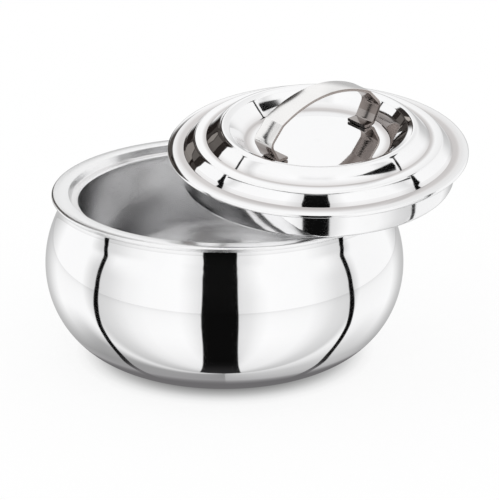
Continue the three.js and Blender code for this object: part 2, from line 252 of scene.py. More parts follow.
def sheet(face, gauge):
    """Outline of a sheet: its face, and the same path one gauge to its left."""
    return filled(face + offset(face, gauge)[::-1])


def shoulder_curve(pot, neck_radius, neck_height):
    """S-curve from the widest place up to the neck: a belly arc and a tangent hollow arc."""
    belly_share = 0.76
    inset = pot.belly_radius - neck_radius
    rise = neck_height - pot.belly_height
    bend = 2 * math.atan(inset / rise)
    radius_sum = rise / math.sin(bend)
    belly = radius_sum * belly_share
    hollow = radius_sum - belly
    turn = math.degrees(bend)
    lower = arc(at(pot.belly_radius - belly, pot.belly_height), belly, belly, 0, turn)
    upper = arc(at(neck_radius + hollow, neck_height), hollow, hollow, 180 + turn, 180)
    return lower[1:] + upper[1:]


def shell_face(pot):
    """Outer face of the shell, from the base plate's seat up to the edge of the flange."""
    seat_width, neck_fillet, base_round = 7 * MM, 1.5 * MM, 0.5 * MM
    seat_radius = BASE_PLATE_RADIUS + SEAM_GAP
    seat_height = POT_SHEET + SEAM_GAP
    neck_radius = pot.rim_radius - pot.neck_inset
    flange_under = pot.height - POT_RIM_THICKNESS + POT_SHEET + SEAM_GAP
    fold_centre_radius = pot.rim_radius - POT_RIM_THICKNESS / 2
    reach = pot.belly_radius - pot.base_radius
    path = [at(seat_radius - seat_width, seat_height), at(seat_radius, seat_height), at(seat_radius, 0)]
    path += arc(at(pot.base_radius, pot.belly_height), reach, pot.belly_height, -90, 0)
    path += shoulder_curve(pot, neck_radius, pot.height - pot.neck_drop)
    path += [at(neck_radius, flange_under), at(fold_centre_radius, flange_under)]
    return rounded(path, {2: base_round, len(path) - 2: neck_fillet})


def bowl_face(pot):
    """Inner face of the bowl, then the ledge, the step, the flat rim and its fold."""
    wall_draft, curve_height, curve_run = 0.8 * MM, 57 * MM, 43 * MM
    ledge_width, step_run, fold_width = 4.8 * MM, 1.4 * MM, 2.1 * MM
    mouth_fillet, foot_fillet, edge_round = 1.4 * MM, 0.7 * MM, 0.6 * MM
    mouth = pot.rim_radius - pot.mouth_inset
    ledge_height = pot.height - pot.step_depth
    floor_radius = mouth - wall_draft - curve_run
    step_foot = mouth + ledge_width
    fold = POT_RIM_THICKNESS / 2
    path = [at(0, pot.floor_height)]
    path += arc(at(floor_radius, curve_height), curve_run, curve_height - pot.floor_height, -90, 0)
    corner = len(path)
    path += [at(mouth, ledge_height), at(step_foot, ledge_height), at(step_foot + step_run, pot.height)]
    path += arc(at(pot.rim_radius - fold, pot.height - fold), fold, fold, 90, -90)
    path += [at(pot.rim_radius - fold - fold_width, pot.height - POT_RIM_THICKNESS)]
    return rounded(path, {corner: mouth_fillet, corner + 1: foot_fillet, corner + 2: edge_round})


def between(path, low, high):
    """The points of a path whose heights lie between two heights."""
    return [point for point in path if low < point.y < high]


def pot_foam_outline(pot):
    """Foam between the shell and the bowl, a seam gap off both."""
    away = POT_SHEET + SEAM_GAP
    top = pot.height - pot.neck_drop - POT_RIM_THICKNESS
    floor = 2 * away + SEAM_GAP
    outer = between(offset(shell_face(pot), away), floor, top)
    inner = between(offset(bowl_face(pot), -away), floor, top - pot.step_depth)
    return filled([at(0, floor), at(pot.base_radius, floor)] + outer + inner[::-1])


def recess_floor(lid):
    """Height of the recess floor over the underside of the folded flange."""
    return LID_RIM_THICKNESS + lid.recess_height


def cover_face(lid):
    """Upper face of the cover, from the recess floor out over both tiers to the folded flange."""
    recess_wall, roll_run, roll_drop = 9.9 * MM, 3.5 * MM, 1.2 * MM
    crest_width, upper_run, crease_height = 2.9 * MM, 8.1 * MM, 7.8 * MM
    tier_inset, lower_run, fold_width = 2 * MM, 6.4 * MM, 3 * MM
    bulge_run, bulge_height = 1.95 * MM, 3 * MM
    recess_foot_round, roll_round, crest_round, brow_round = 3.5 * MM, 2.2 * MM, 4 * MM, 5.2 * MM
    crease_round, tier_round, bulge_round, flange_round = 0.5 * MM, 2.5 * MM, 18 * MM, 0.4 * MM
    crest = LID_RIM_THICKNESS + lid.upper_tier_height
    crest_inner = lid.recess_radius + roll_run
    crest_outer = crest_inner + crest_width
    tier = lid.flange_radius - lid.skirt_inset - tier_inset
    fold = LID_RIM_THICKNESS / 2
    path = [at(0, recess_floor(lid)), at(lid.recess_radius - recess_wall, recess_floor(lid))]
    path += [at(lid.recess_radius, crest - roll_drop), at(crest_inner, crest), at(crest_outer, crest)]
    path += [at(crest_outer + upper_run, LID_RIM_THICKNESS + crease_height)]
    path += [at(tier - lower_run, LID_RIM_THICKNESS + lid.lower_tier_height)]
    path += [at(tier - bulge_run, LID_RIM_THICKNESS + bulge_height), at(tier, LID_RIM_THICKNESS)]
    path += arc(at(lid.flange_radius - fold, fold), fold, fold, 90, -90)
    path += [at(lid.flange_radius - fold - fold_width, 0)]
    rounds = (recess_foot_round, roll_round, crest_round, brow_round)
    rounds += (crease_round, tier_round, bulge_round, flange_round)
    return rounded(path, dict(enumerate(rounds, start=1)))


def pan_face(lid):
    """Outer face of the pan, from its filling hole out and up the skirt to the flange edge."""
    hole, taper, fillet, corner_round = 6 * MM, 0.6 * MM, 1 * MM, 2.5 * MM
    top = lid.flange_radius - lid.skirt_inset
    flange_under = LID_SHEET + SEAM_GAP
    path = [at(hole, -lid.skirt_depth), at(top - taper, -lid.skirt_depth), at(top, flange_under)]
    path += [at(lid.flange_radius - LID_RIM_THICKNESS / 2, flange_under)]
    return rounded(path, {1: corner_round, 2: fillet})


def lid_foam_outline(lid):
    """Foam between the pan and the cover, clear of the plug and of the handle's fixings."""
    away = LID_SHEET + SEAM_GAP
    fixing_room = 8 * MM
    floor = -lid.skirt_depth + away + 4 * SEAM_GAP
    side = between(offset(pan_face(lid), away), floor, 0)
    tier = lid.flange_radius - lid.skirt_inset
    roof = [p for p in offset(cover_face(lid), -away) if p.y > LID_RIM_THICKNESS]
    roof = [p for p in roof if lid.recess_radius < p.x < tier]
    hollow = recess_floor(lid) - fixing_room
    ceiling = [at(lid.recess_radius, hollow), at(0, hollow)]
    return filled([at(0, floor), at(side[0].x - SEAM_GAP, floor)] + side + roof[::-1] + ceiling)


def strap_path(handle, stud_reach):
    """Middle line of the strap from foot to foot over the arch."""
    foot_length, knee_out, shoulder_in = 7.5 * MM, 6.5 * MM, 10 * MM
    stud_setback, foot_bend, knee_bend, shoulder_bend = 4 * MM, 2.5 * MM, 5 * MM, 1.2 * MM
    foot = stud_reach + stud_setback
    knee = foot + knee_out
    shoulder = knee - shoulder_in
    sagitta = handle.arch_height - handle.shoulder_height
    arch_radius = (shoulder ** 2 + sagitta ** 2) / (2 * sagitta)
    end = math.degrees(math.acos(shoulder / arch_radius))
    level = SEAM_GAP + handle.thickness / 2
    path = arc(at(0, handle.arch_height - arch_radius), arch_radius, arch_radius, 90, end)
    corner = len(path) - 1
    path += [at(knee, handle.knee_height), at(foot, level), at(foot - foot_length, level)]
    half = filled(rounded(path, {corner: shoulder_bend, corner + 1: knee_bend, corner + 2: foot_bend}))
    mirrored = [at(-point.x, point.y) for point in half[1:]]
    return mirrored[::-1] + half


# Node trees

VALUE, COUNT, VECTOR, COLOUR = "NodeSocketFloat", "NodeSocketInt", "NodeSocketVector", "NodeSocketColor"
GEOMETRY, MATERIAL = "NodeSocketGeometry", "NodeSocketMaterial"


def rgba(values):
    """Colour with full alpha."""
    return (*values, 1.0)


BLACK, WHITE = rgba((0.0, 0.0, 0.0)), rgba((1.0, 1.0, 1.0))


class Nodes:
    """Adds nodes to a tree in a few words, one column to the right for each step."""
    column, row, rows = 180, 40, 5

    def __init__(self, tree):
        self.tree = tree
        self.count = 0

    def add(self, kind, inputs=None, **options):
        """Node with its options, and with sockets linked or set by their names or numbers."""
        node = self.tree.nodes.new(kind)
        node.location = (self.column * self.count, -self.row * (self.count % self.rows))
        self.count += 1
        for name, value in options.items():
            setattr(node, name, value)
        for socket, value in (inputs or {}).items():
            self.feed(node.inputs[socket], value)
        return node

    def feed(self, socket, value):
        """Links a socket, or sets a constant on it."""
        if isinstance(value, bpy.types.NodeSocket):
            self.tree.links.new(value, socket)
        else:
            socket.default_value = value

    def math(self, operation, *values, clamp=False):
        """Math node on numbers or sockets."""
        inputs = dict(enumerate(values))
        return self.add("ShaderNodeMath", inputs, operation=operation, use_clamp=clamp).outputs[0]

    plus = partialmethod(math, "ADD")
    minus = partialmethod(math, "SUBTRACT")
    times = partialmethod(math, "MULTIPLY")
    over = partialmethod(math, "DIVIDE")
    power = partialmethod(math, "POWER")
    most = partialmethod(math, "MAXIMUM")
    size = partialmethod(math, "ABSOLUTE")

    def fade(self, value, start, end, low=0.0, high=1.0):
        """Smooth change from low at start to high at end, where end may be under start."""
        names = ("Value", "From Min", "From Max", "To Min", "To Max")
        inputs = dict(zip(names, (value, start, end, low, high)))
        return self.add("ShaderNodeMapRange", inputs, interpolation_type="SMOOTHSTEP").outputs["Result"]

    def mix(self, share_of_second, first, second):
        """Colour mix; a Mix node keeps its colours in sockets 6 and 7."""
        inputs = {0: share_of_second, 6: first, 7: second}
        return self.add("ShaderNodeMix", inputs, data_type="RGBA").outputs[2]

    def ramp(self, value, stops):
        """Grey that follows a value through (value, grey) stops."""
        low, high = stops[0][0], stops[-1][0]
        along = self.add("ShaderNodeMapRange", {"Value": value, "From Min": low, "From Max": high})
        node = self.add("ShaderNodeValToRGB", {0: along.outputs[0]})
        elements = node.color_ramp.elements
        while len(elements) < len(stops):
            elements.new(0.5)
        for element, (position, grey) in zip(elements, stops):
            element.position = (position - low) / (high - low)
            element.color = (grey, grey, grey, 1.0)
        return node.outputs["Color"]

    def noise(self, vector, scale, detail=2.0, roughness=0.5):
        """Noise texture."""
        inputs = {"Vector": vector, "Scale": scale, "Detail": detail, "Roughness": roughness}
        return self.add("ShaderNodeTexNoise", inputs).outputs["Fac"]

    def split(self, vector):
        """X, Y and Z of a vector."""
        return self.add("ShaderNodeSeparateXYZ", {0: vector}).outputs

    def radius(self, parts):
        """Distance of a split place from the Z axis."""
        squares = [self.power(parts[name], 2.0) for name in "XY"]
        return self.math("SQRT", self.plus(*squares))

    def attribute(self, name):
        """An attribute of the mesh."""
        return self.add("ShaderNodeAttribute", attribute_name=name).outputs["Fac"]

    def both(self, first, second):
        """Sum of two shaders."""
        return self.add("ShaderNodeAddShader", {0: first.outputs[0], 1: second.outputs[0]}).outputs[0]


def group_tree(name, kind, inputs, outputs):
    """Node group with its named sockets, each given with its type."""
    tree = bpy.data.node_groups.new(name, kind)
    for in_out, sockets in (("INPUT", inputs), ("OUTPUT", outputs)):
        for socket, socket_type in sockets.items():
            tree.interface.new_socket(socket, in_out=in_out, socket_type=socket_type)
    nodes = Nodes(tree)
    return nodes, nodes.add("NodeGroupInput").outputs


def shared(name, build):
    """A node group by name, built on first use."""
    return bpy.data.node_groups.get(name) or build(name)


def finished_tree(nodes, last, material):
    """The geometry tree, ended in Realize Instances and Set Material."""
    realize = nodes.add("GeometryNodeRealizeInstances", {0: last.outputs[0]})
    paint = nodes.add("GeometryNodeSetMaterial", {"Geometry": realize.outputs[0], "Material": material})
    nodes.add("NodeGroupOutput", {0: paint.outputs[0]})
    return nodes.tree


def lathe_tree(name):
    """Turns a profile mesh, drawn as (radius, -height, 0), about the Z axis."""
    inputs = {"Profile": GEOMETRY, "Facets": COUNT, "Merge distance": VALUE, "Material": MATERIAL}
    nodes, given = group_tree(name, "GeometryNodeTree", inputs, {"Sheet": GEOMETRY})
    # The sweep runs along a circle, so the profile first moves in by the circle's radius
    guide = 1.0
    move = {"Geometry": given["Profile"], "Translation": (-guide, 0.0, 0.0)}
    moved = nodes.add("GeometryNodeTransform", move)
    line = nodes.add("GeometryNodeMeshToCurve", {"Mesh": moved.outputs[0]})
    ring = {"Resolution": given["Facets"], "Radius": guide}
    circle = nodes.add("GeometryNodeCurvePrimitiveCircle", ring)
    course = {"Curve": circle.outputs[0], "Profile Curve": line.outputs[0]}
    sweep = nodes.add("GeometryNodeCurveToMesh", course)
    merging = {"Geometry": sweep.outputs[0], "Distance": given["Merge distance"]}
    return finished_tree(nodes, nodes.add("GeometryNodeMergeByDistance", merging), given["Material"])


def strap_tree(name):
    """Sweeps a rounded flat bar along a path, with closed ends."""
    inputs = {"Path": GEOMETRY, "Width": VALUE, "Thickness": VALUE}
    inputs |= {"Edge round": VALUE, "Edge steps": COUNT, "Material": MATERIAL}
    nodes, given = group_tree(name, "GeometryNodeTree", inputs, {"Strap": GEOMETRY})
    line = nodes.add("GeometryNodeMeshToCurve", {"Mesh": given["Path"]})
    flat = {"Width": given["Width"], "Height": given["Thickness"]}
    bar = nodes.add("GeometryNodeCurvePrimitiveQuadrilateral", flat)
    corners = {"Curve": bar.outputs[0], "Radius": given["Edge round"], "Count": given["Edge steps"]}
    fillet = nodes.add("GeometryNodeFilletCurve", corners, mode="POLY")
    course = {"Curve": line.outputs[0], "Profile Curve": fillet.outputs[0], "Fill Caps": True}
    return finished_tree(nodes, nodes.add("GeometryNodeCurveToMesh", course), given["Material"])


def grown(name, source, tree, inputs):
    """Plain mesh that a geometry tree makes from a source mesh, with its inputs set by name."""
    carrier = bpy.data.objects.new(name, source)
    bpy.context.scene.collection.objects.link(carrier)
    modifier = carrier.modifiers.new("Shape", "NODES")
    modifier.node_group = tree
    for socket in tree.interface.items_tree:
        if socket.in_out == "INPUT" and socket.name in inputs:
            modifier[socket.identifier] = inputs[socket.name]
    depsgraph = bpy.context.evaluated_depsgraph_get()
    mesh = bpy.data.meshes.new_from_object(carrier.evaluated_get(depsgraph))
    bpy.data.objects.remove(carrier)
    bpy.data.meshes.remove(source)
    if not mesh.polygons:
        raise RuntimeError(f"{name} came out with no faces")
    return mesh


def signed_area(outline):
    """Area inside an outline, positive where it runs counter-clockwise."""
    return sum(a.x * b.y - b.x * a.y for a, b in zip(outline, outline[1:] + outline[:1])) / 2


def fold_wear(outline, index):
    """How sharply an outline bulges at a point, from 0 to 1 at the wear radius or tighter."""
    before, point, after = outline[index - 1], outline[index], outline[(index + 1) % len(outline)]
    into, out = point - before, after - point
    if min(into.length, out.length) < MERGE_DISTANCE:
        return 0.0
    turn = -math.atan2(into.x * out.y - into.y * out.x, into.dot(out))
    bend = turn / ((into.length + out.length) / 2)
    return max(0.0, min(1.0, bend * WEAR_RADIUS))


# This measure drives the painted shade that darkens hollows, creases and ledges
def shelter(outline, index):
    """How far a clockwise outline rises beside a level place on it, from 0, open, to 1."""
    point = outline[index]
    run = (outline[(index + 1) % len(outline)] - outline[index - 1]).normalized()
    outwards = Vector((-run.y, run.x))
    steepest = [0.0, 0.0]
    for other in outline:
        away = other - point
        rise = away.dot(outwards)
        if rise > SEAM_GAP and away.length < SHELTER_REACH:
            side = int(away.dot(run) > 0)
            steepest[side] = max(steepest[side], math.atan2(rise, abs(away.dot(run))))
    return sum(steepest) / math.pi * run.x ** 2


def smoothed(mesh, place):
    """The mesh set in its place and shaded smooth, but for its sharp edges."""
    mesh.transform(place)
    mesh.shade_smooth()
    mesh.set_sharp_from_angle(angle=SMOOTH_ANGLE)
    return mesh


def add_piece(name, node, body, mesh):
    """Links a finished mesh as a piece that rides on a body and stands for a frame node."""
    piece = bpy.data.objects.new(name, mesh)
    bpy.context.scene.collection.objects.link(piece)
    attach(piece, body)
    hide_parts(node)


def turned_piece(name, node, body, outline, facets, material, place):
    """Piece that is a solid of revolution of an outline, its faces outwards, set in its place."""
    if signed_area(outline) > 0:
        outline = outline[::-1]
    on_axis = [point.x < MERGE_DISTANCE for point in outline]
    if any(on_axis):
        start = next(index for index, here in enumerate(on_axis) if here and on_axis[index - 1])
        outline = outline[start:] + outline[:start]
    count = len(outline)
    edges = [(index, (index + 1) % count) for index in range(count - any(on_axis))]
    profile = bpy.data.meshes.new(name + "_profile")
    profile.from_pydata([(point.x, -point.y, 0.0) for point in outline], edges, [])
    # Wear marks sharp folds; shelter marks where the steel's colour gets painted shade
    for mark, measure in (("wear", fold_wear), ("shelter", shelter)):
        attribute = profile.attributes.new(mark, "FLOAT", "POINT")
        for index in range(count):
            attribute.data[index].value = measure(outline, index)
    inputs = {"Facets": facets, "Merge distance": MERGE_DISTANCE, "Material": material}
    mesh = grown(name, profile, shared("Turned sheet", lathe_tree), inputs)
    add_piece(name, node, body, smoothed(mesh, place))


# Shared shader groups

def spun_finish_and_shade_group(name):
    """Fine rings of a spun and polished sheet, wiping marks, rubbed folds, and painted shade darkening its
    hollows.
    """
    inputs = {"Place": VECTOR, "Colour": COLOUR}
    inputs |= dict.fromkeys(("Roughness", "Ring spacing", "Clouding", "Wear", "Shelter", "Haze"), VALUE)
    outputs = {"Colour": COLOUR, "Roughness": VALUE, "Height": VALUE}
    nodes, given = group_tree(name, "ShaderNodeTree", inputs, outputs)
    height_share, waver, cloud_scale, wiping_scale = 0.83, 6.0, 34.0, 140.0
    fold_roughness, ring_roughness = 0.05, 0.012
    smear_darkness, fold_darkness = 0.7, 0.03
    smear, painted_shade = rgba((0.52, 0.5, 0.49)), rgba((0.30, 0.255, 0.24))
    parts = nodes.split(given["Place"])
    walk = nodes.plus(nodes.radius(parts), nodes.times(parts["Z"], height_share))
    rings_at = nodes.add("ShaderNodeCombineXYZ", {
        "X": nodes.over(walk, given["Ring spacing"]),
        "Y": nodes.times(parts["X"], waver),
        "Z": nodes.times(parts["Y"], waver),
    })
    rings = nodes.noise(rings_at.outputs[0], 1.0, detail=3.0)
    clouds = nodes.noise(given["Place"], cloud_scale, detail=4.0, roughness=0.6)
    wiping = nodes.noise(given["Place"], wiping_scale, detail=3.0, roughness=0.65)
    streaks = nodes.times(nodes.fade(clouds, 0.42, 0.72), nodes.fade(wiping, 0.3, 0.8))
    dulling = nodes.times(streaks, given["Clouding"])
    rubbed = nodes.times(given["Wear"], fold_roughness)
    grain = nodes.fade(rings, 0.35, 0.75, 0.0, ring_roughness)
    dull = nodes.plus(nodes.plus(dulling, rubbed), grain)
    smeared = nodes.times(dulling, smear_darkness)
    smeared = nodes.plus(smeared, nodes.times(given["Wear"], fold_darkness), clamp=True)
    # Painted shade: where the outline is sheltered, in hollows, creases and on ledges, the colour turns a
    # dark taupe
    painted_shade_share = nodes.times(nodes.fade(given["Shelter"], 0.01, 0.2), given["Haze"])
    nodes.add("NodeGroupOutput", {
        "Colour": nodes.mix(painted_shade_share, nodes.mix(smeared, given["Colour"], smear), painted_shade),
        "Roughness": nodes.plus(given["Roughness"], dull, clamp=True),
        "Height": rings,
    })
    return nodes.tree


def cast_skin_group(name):
    """Fine pits and a soft swell, for foam and moulded plastic."""
    inputs = {"Place": VECTOR, "Colour": COLOUR, "Pit scale": VALUE, "Contrast": VALUE}
    outputs = {"Colour": COLOUR, "Height": VALUE, "Pits": VALUE}
    nodes, given = group_tree(name, "ShaderNodeTree", inputs, outputs)
    swell_scale, swell_contrast, swell_height = 60.0, 0.5, 2.0
    cells = nodes.add("ShaderNodeTexVoronoi", {"Vector": given["Place"], "Scale": given["Pit scale"]})
    pits = nodes.fade(cells.outputs["Distance"], 0.12, 0.5)
    swell = nodes.noise(given["Place"], swell_scale, detail=4.0)
    # Painted shade: the colour is darker in the pits, where the height is lowest
    shade = nodes.times(nodes.minus(1.0, pits), given["Contrast"])
    blotch = nodes.times(nodes.fade(swell, 0.35, 0.7, 0.0, swell_contrast), given["Contrast"])
    darker = nodes.add("ShaderNodeHueSaturation", {
        "Color": given["Colour"],
        "Value": nodes.minus(1.0, nodes.plus(shade, blotch)),
    })
    nodes.add("NodeGroupOutput", {
        "Colour": darker.outputs[0],
        "Height": nodes.plus(pits, nodes.times(swell, swell_height)),
        "Pits": pits,
    })
    return nodes.tree


# Materials

def new_material(name):
    """Empty node material, with its nodes and its output."""
    material = bpy.data.materials.new(name)
    material.use_nodes = True
    material.node_tree.nodes.clear()
    nodes = Nodes(material.node_tree)
    return material, nodes, nodes.add("ShaderNodeOutputMaterial")


def principled(nodes, output, tint, roughness, height, relief, depth, constants):
    """Ends a material in a Principled shader, with its height as a fine bump."""
    bump = nodes.add("ShaderNodeBump", {"Strength": relief, "Distance": depth, "Height": height})
    skin = {"Base Color": tint, "Roughness": roughness, "Normal": bump.outputs[0]}
    shader = nodes.add("ShaderNodeBsdfPrincipled", skin | constants)
    nodes.feed(output.inputs["Surface"], shader.outputs[0])


def placed_coordinates(nodes, place):
    """Object coordinates in a piece's own frame: its axis along Z, its origin at its middle."""
    inverse = place.inverted()
    return nodes.add("ShaderNodeMapping", {
        "Vector": nodes.add("ShaderNodeTexCoord").outputs["Object"],
        "Location": inverse.to_translation(),
        "Rotation": inverse.to_euler(),
    }).outputs[0]


def spun_steel(
    name, place, tint, roughness, clouding=0.03, ring_spacing=0.4 * MM, relief=0.004, painted_shade=0.15
):
    """Polished sheet steel, spun about its piece's axis."""
    ring_depth = 0.05 * MM
    material, nodes, output = new_material(name)
    finish = nodes.add("ShaderNodeGroup", {
        "Place": placed_coordinates(nodes, place),
        "Colour": rgba(tint),
        "Roughness": roughness,
        "Ring spacing": ring_spacing,
        "Clouding": clouding,
        "Wear": nodes.attribute("wear"),
        "Shelter": nodes.attribute("shelter"),
        # Strength of the painted shade that darkens sheltered hollows
        "Haze": painted_shade,
    }, node_tree=shared("Spun finish", spun_finish_and_shade_group)).outputs
    principled(
        nodes, output, finish["Colour"], finish["Roughness"], finish["Height"], relief, ring_depth,
        {"Metallic": 1.0},
    )
    return material


def strap_steel(name, place, tint, roughness, handle):
    """Strap steel with its grain along the strap and browner on its sheared edges, with a dark brown
    painted shade on its legs and its inside under the arch.
    """
    grain_scale, cloud_scale = (6.0, 2600.0, 6.0), 90.0
    edge, edge_fade, edge_band = handle.width / 2, 0.25 * MM, 0.05 * MM
    knee_fade, leg_fade = 1 * MM, 2 * MM
    inside_shade_share, leg_shade_share = 0.95, 0.8
    grain_roughness, cloud_roughness, edge_roughness, cloud_darkness = 0.02, 0.035, 0.2, 0.06
    cloud, sheared_brown, strap_shade_tint = (0.55, 0.52, 0.5), (0.46, 0.41, 0.385), (0.22, 0.185, 0.17)
    relief, grain_depth = 0.01, 0.04 * MM
    material, nodes, output = new_material(name)
    place_on = placed_coordinates(nodes, place)
    stretched = nodes.add("ShaderNodeMapping", {"Vector": place_on, "Scale": grain_scale}).outputs[0]
    grain = nodes.noise(stretched, 1.0, detail=3.0)
    clouds = nodes.noise(place_on, cloud_scale, detail=4.0, roughness=0.6)
    parts = nodes.split(place_on)
    sheared = nodes.fade(nodes.size(parts["Y"]), edge - edge_fade, edge - edge_band)
    dull = nodes.fade(clouds, 0.4, 0.75, 0.0, cloud_roughness)
    dull = nodes.plus(dull, nodes.times(sheared, edge_roughness))
    rough = nodes.plus(nodes.fade(grain, 0.3, 0.75, roughness, roughness + grain_roughness), dull)
    tinted = nodes.mix(nodes.fade(clouds, 0.4, 0.8, 0.0, cloud_darkness), rgba(tint), rgba(cloud))
    tinted = nodes.mix(sheared, tinted, rgba(sheared_brown))
    # Painted shade: the faces under the arch and the legs below the knee turn dark brown
    inside = nodes.times(nodes.attribute("inside"), inside_shade_share)
    knee = handle.knee_height
    leg_shade = nodes.fade(parts["Z"], knee + knee_fade, knee - leg_fade, 0.0, leg_shade_share)
    tinted = nodes.mix(nodes.most(inside, leg_shade), tinted, rgba(strap_shade_tint))
    principled(nodes, output, tinted, rough, grain, relief, grain_depth, {"Metallic": 1.0})
    return material


def cast_material(name, place, tint, pit_scale, contrast, roughness, relief, gloss=0.5):
    """Foam or moulded plastic."""
    skin_depth, pit_gloss = 0.3 * MM, 0.85
    material, nodes, output = new_material(name)
    skin = nodes.add("ShaderNodeGroup", {
        "Place": placed_coordinates(nodes, place),
        "Colour": rgba(tint),
        "Pit scale": pit_scale,
        "Contrast": contrast,
    }, node_tree=shared("Cast skin", cast_skin_group)).outputs
    rough = nodes.fade(skin["Pits"], 0.0, 1.0, roughness, roughness * pit_gloss)
    principled(
        nodes, output, skin["Colour"], rough, skin["Height"], relief, skin_depth,
        {"Specular IOR Level": gloss},
    )
    return material


def repaint(node_name, material):
    """Gives a frame node a finished material in all its slots."""
    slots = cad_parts[node_name].material_slots
    if not slots:
        raise RuntimeError(f"{node_name} has no material slot")
    for slot in slots:
        slot.material = material


# Places of the pieces

POT_PLACE = Matrix.Identity(4)


def lid_place(lid):
    """Frame of the lid: its axis along Z, its zero height at the underside of the folded flange."""
    washer_height = recess_floor(lid) - LID_SHEET - SEAM_GAP - WASHER_THICKNESS / 2
    origin = (FRONT_WASHER + BACK_WASHER) / 2 - LID_AXIS * washer_height
    return Matrix.Translation(origin) @ Matrix.Rotation(LID_TILT, 4, "X")


def handle_place(lid):
    """Frame of the handle: its span along X, its zero height on the recess floor."""
    lift = Matrix.Translation((0, 0, recess_floor(lid)))
    return lid_place(lid) @ lift @ Matrix.Rotation(HANDLE_TURN, 4, "Z")


def axis_place(node_name, place):
    """A piece's frame moved onto the middle of one of its frame nodes."""
    moved = place.copy()
    moved.translation = middle(node_name)
    return moved


# Operators: one for each piece or group of like pieces, and one for the stage

class CASSEROLE_OT_pot_shell(bpy.types.Operator):
    """Turn the bellied outer shell and finish its base plate"""
    bl_idname = "casserole.pot_shell"
    bl_label = "Pot shell"

    def execute(self, context):
        pot, finish = settings(context, "pot", "finish")
        steel = spun_steel("Pot steel", POT_PLACE, finish.steel, finish.polish)
        shell = sheet(shell_face(pot), POT_SHEET)
        turned_piece("pot_shell", "pot_outer_shell", "pot",
                     shell, pot.facets, steel, POT_PLACE)
        repaint("pot_base_plate", spun_steel(
            "Base plate steel", POT_PLACE, finish.steel, roughness=0.12,
            clouding=0.08, ring_spacing=0.6 * MM, relief=0.02,
        ))
        return {"FINISHED"}


class CASSEROLE_OT_pot_bowl(bpy.types.Operator):
    """Turn the inner bowl with its ledge, step and folded rim"""
    bl_idname = "casserole.pot_bowl"
    bl_label = "Inner bowl and rim"

    def execute(self, context):
        pot, finish = settings(context, "pot", "finish")
        steel = spun_steel(
            "Bowl steel", POT_PLACE, finish.steel, finish.bowl_polish,
            clouding=0.05, ring_spacing=0.5 * MM, relief=0.01,
        )
        bowl = sheet(bowl_face(pot), -POT_SHEET)
        turned_piece("bowl_and_rim", "pot_inner_bowl", "pot",
                     bowl, pot.facets, steel, POT_PLACE)
        return {"FINISHED"}


class CASSEROLE_OT_lid(bpy.types.Operator):
    """Turn the stepped cover and the pan with its skirt"""
    bl_idname = "casserole.lid"
    bl_label = "Lid cover and pan"

    def execute(self, context):
        pot, lid, finish = settings(context, "pot", "lid", "finish")
        place = lid_place(lid)
        # The lid's hollows take a stronger painted shade than the pot's
        steel = spun_steel("Lid steel", place, finish.steel, finish.polish, painted_shade=0.5)
        pan_steel = spun_steel(
            "Lid pan steel", place, finish.steel, roughness=0.07,
            clouding=0.06, ring_spacing=0.6 * MM, relief=0.012,
        )
        cover, pan = sheet(cover_face(lid), -LID_SHEET), sheet(pan_face(lid), LID_SHEET)
        turned_piece("lid_top", "lid_cover", "lid",
                     cover, pot.facets, steel, place)
        turned_piece("lid_skirt_pan", "lid_pan", "lid",
                     pan, pot.facets, pan_steel, place)
        return {"FINISHED"}


class CASSEROLE_OT_handle(bpy.types.Operator):
    """Bend the strap handle with its turned-in feet"""
    bl_idname = "casserole.handle"
    bl_label = "Strap handle"

    def execute(self, context):
        lid, handle, finish = settings(context, "lid", "handle", "finish")
        place = handle_place(lid)
        points = strap_path(handle, ACROSS_WASHERS.length / 2)
        line = bpy.data.meshes.new("strap_path")
        edges = [(index, index + 1) for index in range(len(points) - 1)]
        line.from_pydata([(point.x, 0.0, point.y) for point in points], edges, [])
        mesh = grown("handle_strap", line, shared("Bent strap", strap_tree), {
            "Width": handle.width,
            "Thickness": handle.thickness,
            "Edge round": handle.edge_round,
            "Edge steps": EDGE_STEPS,
            "Material": strap_steel("Strap steel", place, finish.strap, finish.strap_polish, handle),
        })
        outward(mesh)
        mark_inside(mesh, handle)
        add_piece("handle_strap", "lid_handle_strap", "lid", smoothed(mesh, place))
        return {"FINISHED"}


def outward(mesh):
    """Turns all faces of a closed mesh outwards."""
    edited = bmesh.new()
    edited.from_mesh(mesh)
    bmesh.ops.remove_doubles(edited, verts=edited.verts, dist=MERGE_DISTANCE)
    bmesh.ops.recalc_face_normals(edited, faces=edited.faces)
    edited.to_mesh(mesh)
    edited.free()


def mark_inside(mesh, handle):
    """Marks the faces of the strap that look in under the arch, where its steel gets painted shade."""
    core = Vector((0, 0, handle.knee_height))
    feet, flatness = 3 * handle.thickness, 0.7
    mark = mesh.attributes.new("inside", "FLOAT", "FACE")
    for face in mesh.polygons:
        level = Vector((face.normal.x, 0, face.normal.z))
        looks_in = level.length > flatness and level.dot(core - face.center) > 0
        mark.data[face.index].value = float(looks_in and face.center.z > feet)


class CASSEROLE_OT_fillings(bpy.types.Operator):
    """Make the foam fillings and finish the filling plugs"""
    bl_idname = "casserole.fillings"
    bl_label = "Foam fillings and plugs"

    def execute(self, context):
        pot, lid, finish = settings(context, "pot", "lid", "finish")
        coarseness = 3
        for body, outline, place in (
            ("pot", pot_foam_outline(pot), POT_PLACE),
            ("lid", lid_foam_outline(lid), lid_place(lid)),
        ):
            name, node, facets = body + "_foam", body + "_insulation", pot.facets // coarseness
            foam = cast_material(
                name + "_filling", place, finish.foam,
                pit_scale=700.0, contrast=0.35, roughness=0.9, relief=0.6, gloss=0.2,
            )
            turned_piece(name, node, body, outline, facets, foam, place)
        for name, place in (("pot_fill_plug", POT_PLACE), ("lid_fill_plug", lid_place(lid))):
            repaint(name, cast_material(
                name + "_plastic", axis_place(name, place), finish.plastic,
                pit_scale=1600.0, contrast=0.25, roughness=0.5, relief=0.12,
            ))
        return {"FINISHED"}


